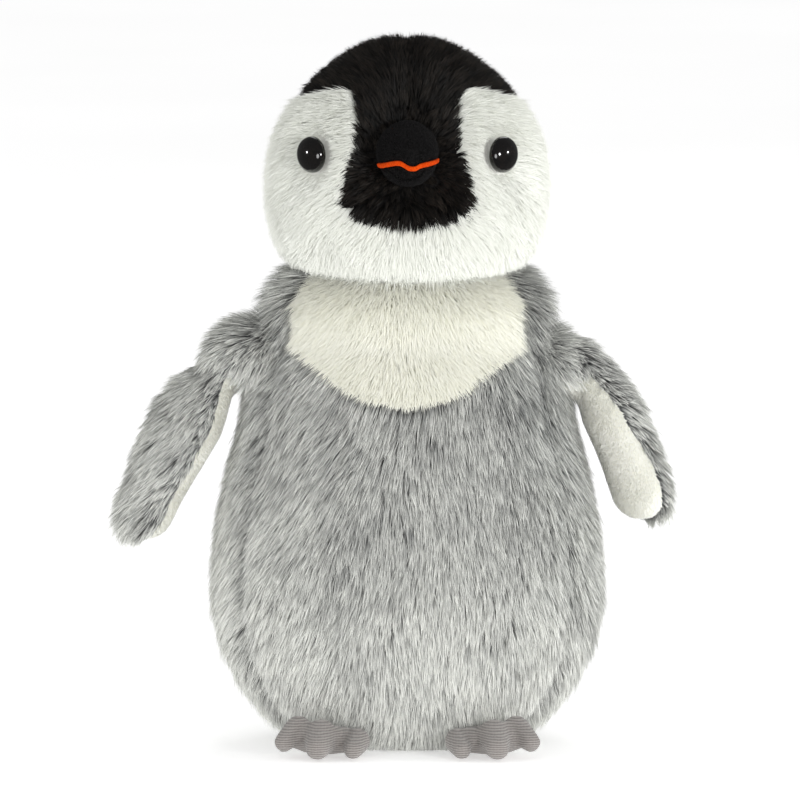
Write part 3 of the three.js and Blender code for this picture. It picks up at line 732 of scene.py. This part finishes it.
def grow_bib_pile(skin, panels):
    """The bib's pile, which gets shorter towards the bib's point."""
    roots, outward, _ = scatter(skin, bib_cream.per_mm2)
    on_bib = panels.owner(roots, outward) == TORSO_PANELS.index("bib_panel")
    own = on_bib & (roots[:, 2] < COVERED)
    roots, outward = roots[own], outward[own]
    low = smooth_step(0, 12 * MM, bib_low + 12 * MM - roots[:, 2])
    tone = 0.75 + rng.normal(0, 0.2, len(roots))
    strands = bib_cream.strands(roots, outward, bib_nap(roots), tone, 1.05 - 0.3 * low)
    fur_pieces("bib_panel_pile", strands, cream_pile, "torso")


def make_torso():
    panels = Panels(TORSO_PANELS)
    skin, seams = torso_skin(panels)
    grow_grey_pile(skin, panels, seams)
    grow_bib_pile(skin, panels)
    looks = {name: (grey_backing, "grey_plush") for name in TORSO_PANELS}
    looks["bib_panel"] = (cream_backing, "bib_plush")
    looks["base_panel"] = (base_cloth, "grey_plush")
    split_by_panel(skin, panels, looks, "torso", "body_stuffing")


# ---------------------------------------------------------------- head
HEAD_PANELS = [
    "crown_panel_left",
    "crown_panel_right",
    "muzzle_panel",
    "face_panel_left",
    "face_panel_right",
    "nape_panel_left",
    "nape_panel_right",
]
head_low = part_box("face_panel_right")[0][2]
head_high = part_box("crown_panel_right")[1][2]
head_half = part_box("nape_panel_right")[1][0]
beak_centre = (centre_of("beak_upper") + centre_of("beak_lower")) / 2
beak_radius = (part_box("beak_upper")[1][0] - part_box("beak_upper")[0][0]) / 2
eye_centres = {side: centre_of(f"eye_{side}") for side in SIDES}
EYE_CLEAR = 8.4 * MM  # no pile is rooted nearer than this to an eye's middle
EYE_NEAR = 17 * MM  # and it's shorter up to here
FOREHEAD_HALF = 8 * MM  # the middle seam, to each side
CAP_SWAY = 22 * MM  # the nap strays over about this much
FACE_SWAY = 24 * MM


def cap_nap(roots, outward):
    """The black pile runs up the forehead, over the crown and down the nape."""
    nap = np.cross(outward, RIGHT)
    nap[:, 0] += 0.45 * np.tanh(roots[:, 0] / (3 * MM)) + roots[:, 0] / head_half * 0.5
    nap[:, 0] += 0.25 * wobble(roots, CAP_SWAY, 8)
    nap[:, 2] += 0.25 * wobble(roots, CAP_SWAY, 9)
    return nap


def face_nap(roots):
    """The white pile runs away from the muzzle, outwards and down."""
    side = np.tanh(roots[:, 0] / (12 * MM))
    height = (roots[:, 2] - head_low) / (head_high - head_low)
    nap = np.stack([side * (0.35 + 0.75 * height), 0.25 + 0.4 * height, -1 + 0.5 * height], axis=1)
    nap[:, 0] += 0.3 * wobble(roots, FACE_SWAY, 10)
    nap[:, 2] += 0.3 * wobble(roots, FACE_SWAY, 11)
    return nap


def muzzle_nap(roots):
    """Round the beak the black pile runs away from its middle."""
    away = roots - beak_centre
    away[:, 1] = 0
    return unit(away) + 0.2 * wobble(roots, 15 * MM, 12)[:, None]


def head_skin(panels):
    """The skin, with a deep seam up the forehead and shallow ones elsewhere."""
    nodes = [*HEAD_PANELS, "head_stuffing"]
    skin = stuffed_skin("head_skin", nodes, voxel=3.5 * MM, sunk=2.2 * MM, swell=1.6 * MM)
    points, _, normals = mesh_arrays(skin.data)
    seams = panels.seam_distance(points, normals, {})
    middle = np.abs(points[:, 0]) < FOREHEAD_HALF
    forehead = middle & (points[:, 2] > beak_centre[2])
    depth = np.where(forehead, 2.2 * MM, np.where(middle, 0.3 * MM, 0.9 * MM))
    pull_in_seams(skin, seams, depth, 3 * MM)
    return skin


def head_trim(roots, outward):
    """Which roots stand clear of the eyes and beak, and how long the pile is: short near them and below."""
    clear = np.ones(len(roots), bool)
    scale = np.ones(len(roots))
    for centre in eye_centres.values():
        distance = np.linalg.norm(roots - centre, axis=1)
        clear &= distance > EYE_CLEAR
        scale = np.minimum(scale, 0.3 + 0.7 * smooth_step(EYE_CLEAR, EYE_NEAR, distance))
    beak_distance = np.linalg.norm((roots - beak_centre)[:, [0, 2]], axis=1)
    in_front = roots[:, 1] < 0
    clear &= ~in_front | (beak_distance > beak_radius * 0.85)
    off_beak = smooth_step(beak_radius, beak_radius * 1.9, beak_distance)
    scale = np.where(in_front, scale * (0.45 + 0.55 * off_beak), scale)
    below = smooth_step(0.3, 0.9, -outward[:, 2])
    return clear, scale * (1 - 0.5 * below)


def make_head():
    panels = Panels(HEAD_PANELS)
    skin = head_skin(panels)
    roots, outward, _ = scatter(skin, face_white.per_mm2)
    owner = panels.owner(roots, outward)
    clear, scale = head_trim(roots, outward)
    for name in HEAD_PANELS:
        own = (owner == HEAD_PANELS.index(name)) & clear
        where, away = roots[own], outward[own]
        if name.startswith("face"):
            tone = 0.6 + 0.08 * wobble(where, 15 * MM, 13) + rng.normal(0, 0.2, own.sum())
            strands = face_white.strands(where, away, face_nap(where), tone, scale[own])
            fur_pieces(f"{name}_pile", strands, white_pile, "head")
        else:
            nap = muzzle_nap(where) if name == "muzzle_panel" else cap_nap(where, away)
            # This tone sets how far each black strand's tip goes towards the painted brown highlight.
            tone = 0.35 + rng.normal(0, 0.25, own.sum())
            strands = cap_black.strands(where, away, nap, tone, scale[own])
            fur_pieces(f"{name}_pile", strands, black_pile, "head")
    looks = {name: (black_backing, "black_plush") for name in HEAD_PANELS}
    for side in SIDES:
        looks[f"face_panel_{side}"] = (white_backing, "white_plush")
    split_by_panel(skin, panels, looks, "head", "head_stuffing")


def make_neck():
    """The neck, cream in front and grey behind, which shows only when the head turns or nods."""
    skin = stuffed_skin("neck_skin", ["neck_stuffing"], voxel=3.5 * MM, sunk=0.5 * MM, swell=0.5 * MM)
    skin.data.materials.append(cream_backing)
    roots, outward, _ = scatter(skin, NECK_PER_MM2)
    shown = roots[:, 2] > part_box("neck_stuffing")[0][2] + 3 * MM
    front = roots[:, 1] < 12 * MM
    nap = np.tile(DOWN, (len(roots), 1)) + outward * 0.3
    for name, own, material, slot in (
        ("neck_front_pile", shown & front, cream_pile, "bib_plush"),
        ("neck_back_pile", shown & ~front, grey_pile, "grey_plush"),
    ):
        tone = 0.5 + rng.normal(0, 0.2, own.sum())
        strands = neck_short.strands(roots[own], outward[own], nap[own], tone)
        fur_pieces(name, strands, material, "neck")
    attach(skin, "neck")
    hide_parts("neck_stuffing")


# ---------------------------------------------------------------- wings
def joint_place(name):
    """Where a joint's axis goes through."""
    return np.array(next(j for j in frame["joints"] if j["name"] == name)["pos_m"])


def wing_nap(roots, side):
    """Along the wing, from the shoulder to the tip, and a little down."""
    shoulder = joint_place(f"wing_{side}_raise")
    low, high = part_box(f"wing_outer_{side}")
    tip = np.array([SIDES[side] * max(abs(low[0]), abs(high[0])), 0, low[2]])
    beyond = tip + unit(tip - shoulder) * 40 * MM
    nap = unit(beyond - roots) + np.array([SIDES[side] * 0.1, 0, -0.35])
    return nap + 0.22 * np.stack([wobble(roots, 22 * MM, 14 + k) for k in range(3)], axis=1)


# How far the shoulder's stuffing sits towards the middle of the body and below its joint, and its half sizes.
SHOULDERS = {
    "left": (8 * MM, 2 * MM, np.array([22, 21, 16]) * MM),
    "right": (12 * MM, 6 * MM, np.array([20, 21, 15.5]) * MM),
}


LINING_DROP = 8 * MM  # of the lining's top edge, below the shoulder's joint


def make_wing(side):
    """A wing whose shoulder runs on into the torso, grey outside and with a short cream lining inside."""
    names = [f"wing_outer_{side}", f"wing_lining_{side}"]
    panels = Panels(names)
    shoulder = joint_place(f"wing_{side}_raise")
    inward, down, halves = SHOULDERS[side]
    ball = ellipsoid(shoulder - np.array([SIDES[side] * inward, 0, down]), halves)
    nodes = [*names, f"wing_stuffing_{side}"]
    skin = stuffed_skin(
        f"wing_skin_{side}", nodes, voxel=2.5 * MM, sunk=1.4 * MM, swell=1.2 * MM, rounds=3, extra=ball
    )
    points, _, normals = mesh_arrays(skin.data)
    seams = panels.seam_distance(points, normals, {})
    body = f"wing_{side}"
    roots, outward, seam = scatter(skin, WING_PER_MM2, seams)
    lining_top = shoulder[2] - LINING_DROP
    own = (panels.owner(roots, outward) == 0) | (roots[:, 2] > lining_top)
    where = roots[own]
    scale = 0.45 + 0.55 * smooth_step(0, 10 * MM, seam[own])
    tone = 0.74 + 0.08 * wobble(where, 20 * MM, 18) + rng.normal(0, 0.15, own.sum())
    strands = wing_grey.strands(where, outward[own], wing_nap(where, side), tone, scale)
    fur_pieces(f"wing_outer_{side}_pile", strands, grey_pile, body)
    roots, outward, _ = scatter(skin, lining_short.per_mm2)
    own = (panels.owner(roots, outward) == 1) & (roots[:, 2] <= lining_top)
    tone = 0.6 + rng.normal(0, 0.2, own.sum())
    strands = lining_short.strands(roots[own], outward[own], wing_nap(roots[own], side), tone)
    fur_pieces(f"wing_lining_{side}_pile", strands, lining_pile, body)
    looks = {names[0]: (grey_backing, "grey_plush"), names[1]: (white_backing, "lining_plush")}
    split_by_panel(skin, panels, looks, body, f"wing_stuffing_{side}")


# ---------------------------------------------------------------- eyes, beak and mouth
def eye_plastic():
    shader = Shader("eye_plastic")
    place = shader.place()
    haze = shader.ramp(shader.noise(place, 260, 2), [(0.35, colour(6, 5, 5)), (0.75, colour(16, 12, 10))])
    shader.base(haze)
    shader.surface_values(Roughness=0.12, Coat_Weight=0.8, Coat_Roughness=0.02)
    shader.bump(shader.noise(place, 900, 1), 0.03, 0.0001)
    return shader.material


DOME_HEIGHT = 0.62  # of an eye's radius
DOME_TURNS = 48
DOME_RINGS = 14
EYE_RIM = [(0.9, -0.18), (1.0, -0.08)]  # out from the middle and up from the seat, as shares of the radius


def make_eye(side, material):
    """A domed glossy eye with a thin rim, seated in the pile."""
    low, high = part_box(f"eye_{side}")
    centre = eye_centres[side]
    points, _, _ = mesh_arrays(frame["nodes"][f"eye_{side}"].data)
    outward = unit(np.array([centre[0], centre[1], 0]))
    front = (points @ outward).max()
    middle = np.array([0, 0, (low[2] + high[2]) / 2])
    radius = (high[2] - low[2]) / 2
    height = radius * DOME_HEIGHT
    turns = DOME_TURNS
    sideways = np.cross(UP, outward)
    angles = np.linspace(0, math.pi / 2, DOME_RINGS)[:-1]
    profile = [(radius * out, radius * rise) for out, rise in EYE_RIM]
    profile += [(radius * math.cos(a), height * math.sin(a)) for a in angles]
    seat = outward * (front - height) + middle
    vertices, faces = [], []
    for out, rise in profile:
        for k in range(turns):
            angle = 2 * math.pi * k / turns
            spoke = sideways * math.cos(angle) + UP * math.sin(angle)
            vertices.append(seat + outward * rise + spoke * out)
    apex = len(vertices)
    vertices.append(seat + outward * height)
    for ring in range(len(profile) - 1):
        for k in range(turns):
            a, b = ring * turns + k, ring * turns + (k + 1) % turns
            faces.append((a, b, b + turns, a + turns))
    last = (len(profile) - 1) * turns
    faces.extend((last + k, last + (k + 1) % turns, apex) for k in range(turns))
    faces.append(tuple(reversed(range(turns))))
    mesh = bpy.data.meshes.new(f"eye_{side}_dome")
    mesh.from_pydata([tuple(v) for v in vertices], [], faces)
    set_smooth(mesh)
    mesh.materials.append(material)
    piece = new_object(f"eye_{side}_dome", mesh)
    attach(piece, "head")
    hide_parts(f"eye_{side}")


def felt_material():
    """Matted orange fibres, a little darker in patches."""
    shader = Shader("orange_felt")
    place = shader.place()
    fibres = shader.noise(place, 1300, 4, 0.7)
    patches = shader.noise(place, 300, 2)
    blend = shader.ramp(fibres, [(0.3, colour(184, 44, 0)), (0.7, colour(226, 84, 10))])
    share = shader.ramp(patches, [(0.4, (0, 0, 0, 1)), (0.7, (0.5, 0.5, 0.5, 1))])
    shader.base(shader.mix(share, blend, colour(206, 64, 12)))
    shader.bump(fibres, 1.0, 0.0006)
    shader.surface_values(Roughness=1.0, Specular_IOR_Level=0.1)
    return shader.material


PLUG_DEPTH = 10 * MM  # of the stuffing behind the beak, to the front and to the back


def make_beak():
    """The velour beak and its mouth line. Its stuffing runs on into the head, which the beak is sewn to."""
    for half in ("beak_upper", "beak_lower"):
        skin = stuffed_skin(
            f"{half}_skin", [half], voxel=0.8 * MM, sunk=0.1 * MM, swell=0.2 * MM, rounds=2
        )
        skin.data.materials.append(black_backing)
        roots, outward, _ = scatter(skin, velour.per_mm2)
        front = roots[:, 1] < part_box(half)[1][1] - 4 * MM
        away = roots[front] - beak_centre
        tone = 0.45 + rng.normal(0, 0.25, front.sum())
        strands = velour.strands(roots[front], outward[front], away, tone)
        fur_pieces(f"{half}_pile", strands, velour_pile, "head")
        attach(skin, "head")
        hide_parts(half)
    root = beak_centre.copy()
    root[1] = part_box("beak_upper")[1][1] - 2 * MM
    plug = ellipsoid(root, np.array([0.97 * beak_radius, PLUG_DEPTH, 1.02 * beak_radius]))
    core = stuffed_skin(
        "beak_core", ["beak_stuffing"], voxel=1 * MM, sunk=0, swell=0, rounds=2, extra=plug
    )
    core.data.materials.append(black_backing)
    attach(core, "head")
    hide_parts("beak_stuffing")
    lip = stuffed_skin(
        "mouth_felt", ["mouth_lining"], voxel=0.45 * MM, sunk=-0.15 * MM, swell=0, rounds=1
    )
    lip.data.materials.append(felt_material())
    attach(lip, "head")
    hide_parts("mouth_lining")


# ---------------------------------------------------------------- feet
def knit_material(name, dark, light):
    """A fine ribbed knit: narrow wales that run over the toes, each with its small stitches."""
    shader = Shader(name)
    place = shader.place()
    wales = shader.stripes(place, "Z", 330, 1.6, 2)
    stitches = shader.stripes(place, "X", 520, 2.0)
    relief = shader.mix(0.25, wales, stitches)
    fuzz = shader.noise(place, 1500, 3, 0.7)
    relief = shader.mix(0.3, relief, fuzz)
    # Painted shade: the colour follows the same relief as the bump, darker in the grooves between the wales
    # and stitches, with the yarn's own fuzz speckled through it.
    tint = shader.ramp(relief, [(0.2, dark), (0.75, light)])
    shader.base(tint)
    shader.bump(relief, 0.7, 0.0006)
    shader.surface_values(Roughness=0.92, Sheen_Weight=0.3)
    return shader.material


def make_foot(side, knit):
    """A stuffed knitted foot that lies flat on the floor."""
    names = [f"foot_upper_{side}", f"foot_sole_{side}"]
    panels = Panels(names)
    nodes = [*names, f"foot_stuffing_{side}"]
    skin = stuffed_skin(
        f"foot_skin_{side}", nodes, voxel=1.4 * MM, sunk=0.3 * MM, swell=0.3 * MM, rounds=6
    )
    points, _, _ = mesh_arrays(skin.data)
    points[:, 2] = np.maximum(points[:, 2], BASE_CLEAR)
    set_points(skin.data, points)
    looks = {name: (knit, "foot_knit") for name in names}
    split_by_panel(skin, panels, looks, f"foot_{side}", f"foot_stuffing_{side}")


# ---------------------------------------------------------------- parts inside
def weave_material(name, dark, light):
    """A plain woven cotton: threads that cross over and under."""
    shader = Shader(name)
    place = shader.place()
    warp, weft = (shader.stripes(place, axis, 260, 0.6) for axis in ("X", "Z"))
    relief = shader.mix(0.5, warp, weft)
    # Painted shade: the colour follows the relief, darker where the threads dip under the crossing ones.
    shader.base(shader.ramp(relief, [(0.2, dark), (0.8, light)]))
    shader.bump(relief, 0.5, 0.0004)
    shader.surface_values(Roughness=0.9)
    return shader.material


def moulded_material(name, dark, light):
    """Moulded plastic with a faint grain."""
    shader = Shader(name)
    grain = shader.noise(shader.place(), 700, 3)
    shader.base(shader.ramp(grain, [(0.3, dark), (0.7, light)]))
    shader.bump(grain, 0.2, 0.0002)
    shader.surface_values(Roughness=0.5)
    return shader.material


def dress_hidden_parts():
    """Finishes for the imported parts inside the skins, which stay as they are."""
    bag = weave_material("bag_cotton", colour(196, 196, 188), colour(222, 222, 214))
    washer = moulded_material("washer_plastic", colour(224, 224, 220), colour(236, 236, 232))
    finishes = {"pellet_bag": bag, "eye_washer_left": washer, "eye_washer_right": washer}
    for name, material in finishes.items():
        mesh = frame["nodes"][name].data
        mesh.materials.clear()
        mesh.materials.append(material)


# ---------------------------------------------------------------- studio
FLOOR_SIZE = 30  # metres, from the middle to each side
FLOOR_GLOW = 0.42
AMBIENT = 0.62  # how bright the room is as it lights the toy,
MIRRORED = 0.12  # as it shows in glossy surfaces,
BACKDROP = 1.14  # and as the camera sees it
LAMPS = {  # name: place, width across and power
    "key": ((0.9, -1.8, 0.35), 0.35, 12),
    "fill": ((-0.2, -2.0, 0.02), 0.8, 8),
    "side_left": ((-1.5, -0.45, 0.4), 0.13, 2.5),
    "side_right": ((1.5, -0.45, 0.4), 0.13, 4),
    "back": ((0.2, 1.4, 1.6), 1.2, 6),
}
CAMERA_DISTANCE = 6
CAMERA_ELEVATION = 6  # degrees
SEEN_WIDTH = 0.336
SENSOR_WIDTH = 36
AIM_RIGHT = 2.6 * MM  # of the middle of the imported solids
AIM_BELOW = 5.2 * MM


def make_floor():
    """A white floor that glows a little, so that it meets the backdrop without an edge."""
    size = FLOOR_SIZE
    corners = [(-size, -size, 0), (size, -size, 0), (size, size, 0), (-size, size, 0)]
    mesh = bpy.data.meshes.new("floor")
    mesh.from_pydata(corners, [], [(0, 1, 2, 3)])
    shader = Shader("floor_paint")
    mottle = shader.noise(shader.place(), 3, 2)
    paint = shader.ramp(mottle, [(0.3, (0.98, 0.98, 0.98, 1)), (0.7, (1.0, 1.0, 1.0, 1))])
    shader.base(paint)
    shader.link(paint, shader.surface.inputs["Emission Color"])
    shader.surface_values(Roughness=0.8, Emission_Strength=FLOOR_GLOW)
    mesh.materials.append(shader.material)
    floor = new_object("floor", mesh)
    floor.visible_glossy = False


def make_room():
    """Even white light from all round, in a different strength for each kind of ray."""
    world = bpy.data.worlds.new("studio")
    world.use_nodes = True
    room = world.node_tree
    paths = room.nodes.new("ShaderNodeLightPath")
    lit = room.nodes.new("ShaderNodeMapRange")
    lit.inputs["To Min"].default_value = AMBIENT
    lit.inputs["To Max"].default_value = MIRRORED
    room.links.new(paths.outputs["Is Glossy Ray"], lit.inputs["Value"])
    backdrop = room.nodes.new("ShaderNodeMapRange")
    backdrop.inputs["To Max"].default_value = BACKDROP
    room.links.new(lit.outputs["Result"], backdrop.inputs["To Min"])
    room.links.new(paths.outputs["Is Camera Ray"], backdrop.inputs["Value"])
    room.nodes["Background"].inputs["Color"].default_value = (1, 1, 1, 1)
    room.links.new(backdrop.outputs["Result"], room.nodes["Background"].inputs["Strength"])
    bpy.context.scene.world = world


def make_lamps(centre):
    """Round soft lamps, all turned towards the toy."""
    for name, (place, size, power) in LAMPS.items():
        light = bpy.data.lights.new(name, "AREA")
        light.shape = "DISK"
        light.size = size
        light.energy = power
        lamp = new_object(name, light)
        lamp.location = place
        lamp.rotation_euler = (centre - Vector(place)).to_track_quat("-Z", "Y").to_euler()


def make_camera(centre):
    """A long lens from in front and a little above."""
    camera = bpy.data.cameras.new("camera")
    camera.sensor_width = SENSOR_WIDTH
    camera.lens = camera.sensor_width * CAMERA_DISTANCE / SEEN_WIDTH
    camera.clip_start = 0.1
    camera.clip_end = 100
    eye = new_object("camera", camera)
    elevation = math.radians(CAMERA_ELEVATION)
    target = centre + Vector((AIM_RIGHT, -centre[1], -AIM_BELOW))
    back = Vector((0, -math.cos(elevation), math.sin(elevation)))
    eye.location = target + back * CAMERA_DISTANCE
    eye.rotation_euler = (-back).to_track_quat("-Z", "Y").to_euler()
    bpy.context.scene.camera = eye


def make_studio():
    low, high = cad_box
    centre = (low + high) / 2
    make_floor()
    make_room()
    make_lamps(centre)
    make_camera(centre)
    bpy.context.scene.view_settings.view_transform = "Standard"


make_torso()
make_head()
make_neck()
for side in SIDES:
    make_wing(side)
eye_gloss = eye_plastic()
for side in SIDES:
    make_eye(side, eye_gloss)
make_beak()
foot_knit = knit_material("foot_knit", colour(116, 111, 108), colour(168, 162, 158))
for side in SIDES:
    make_foot(side, foot_knit)
dress_hidden_parts()
make_studio()
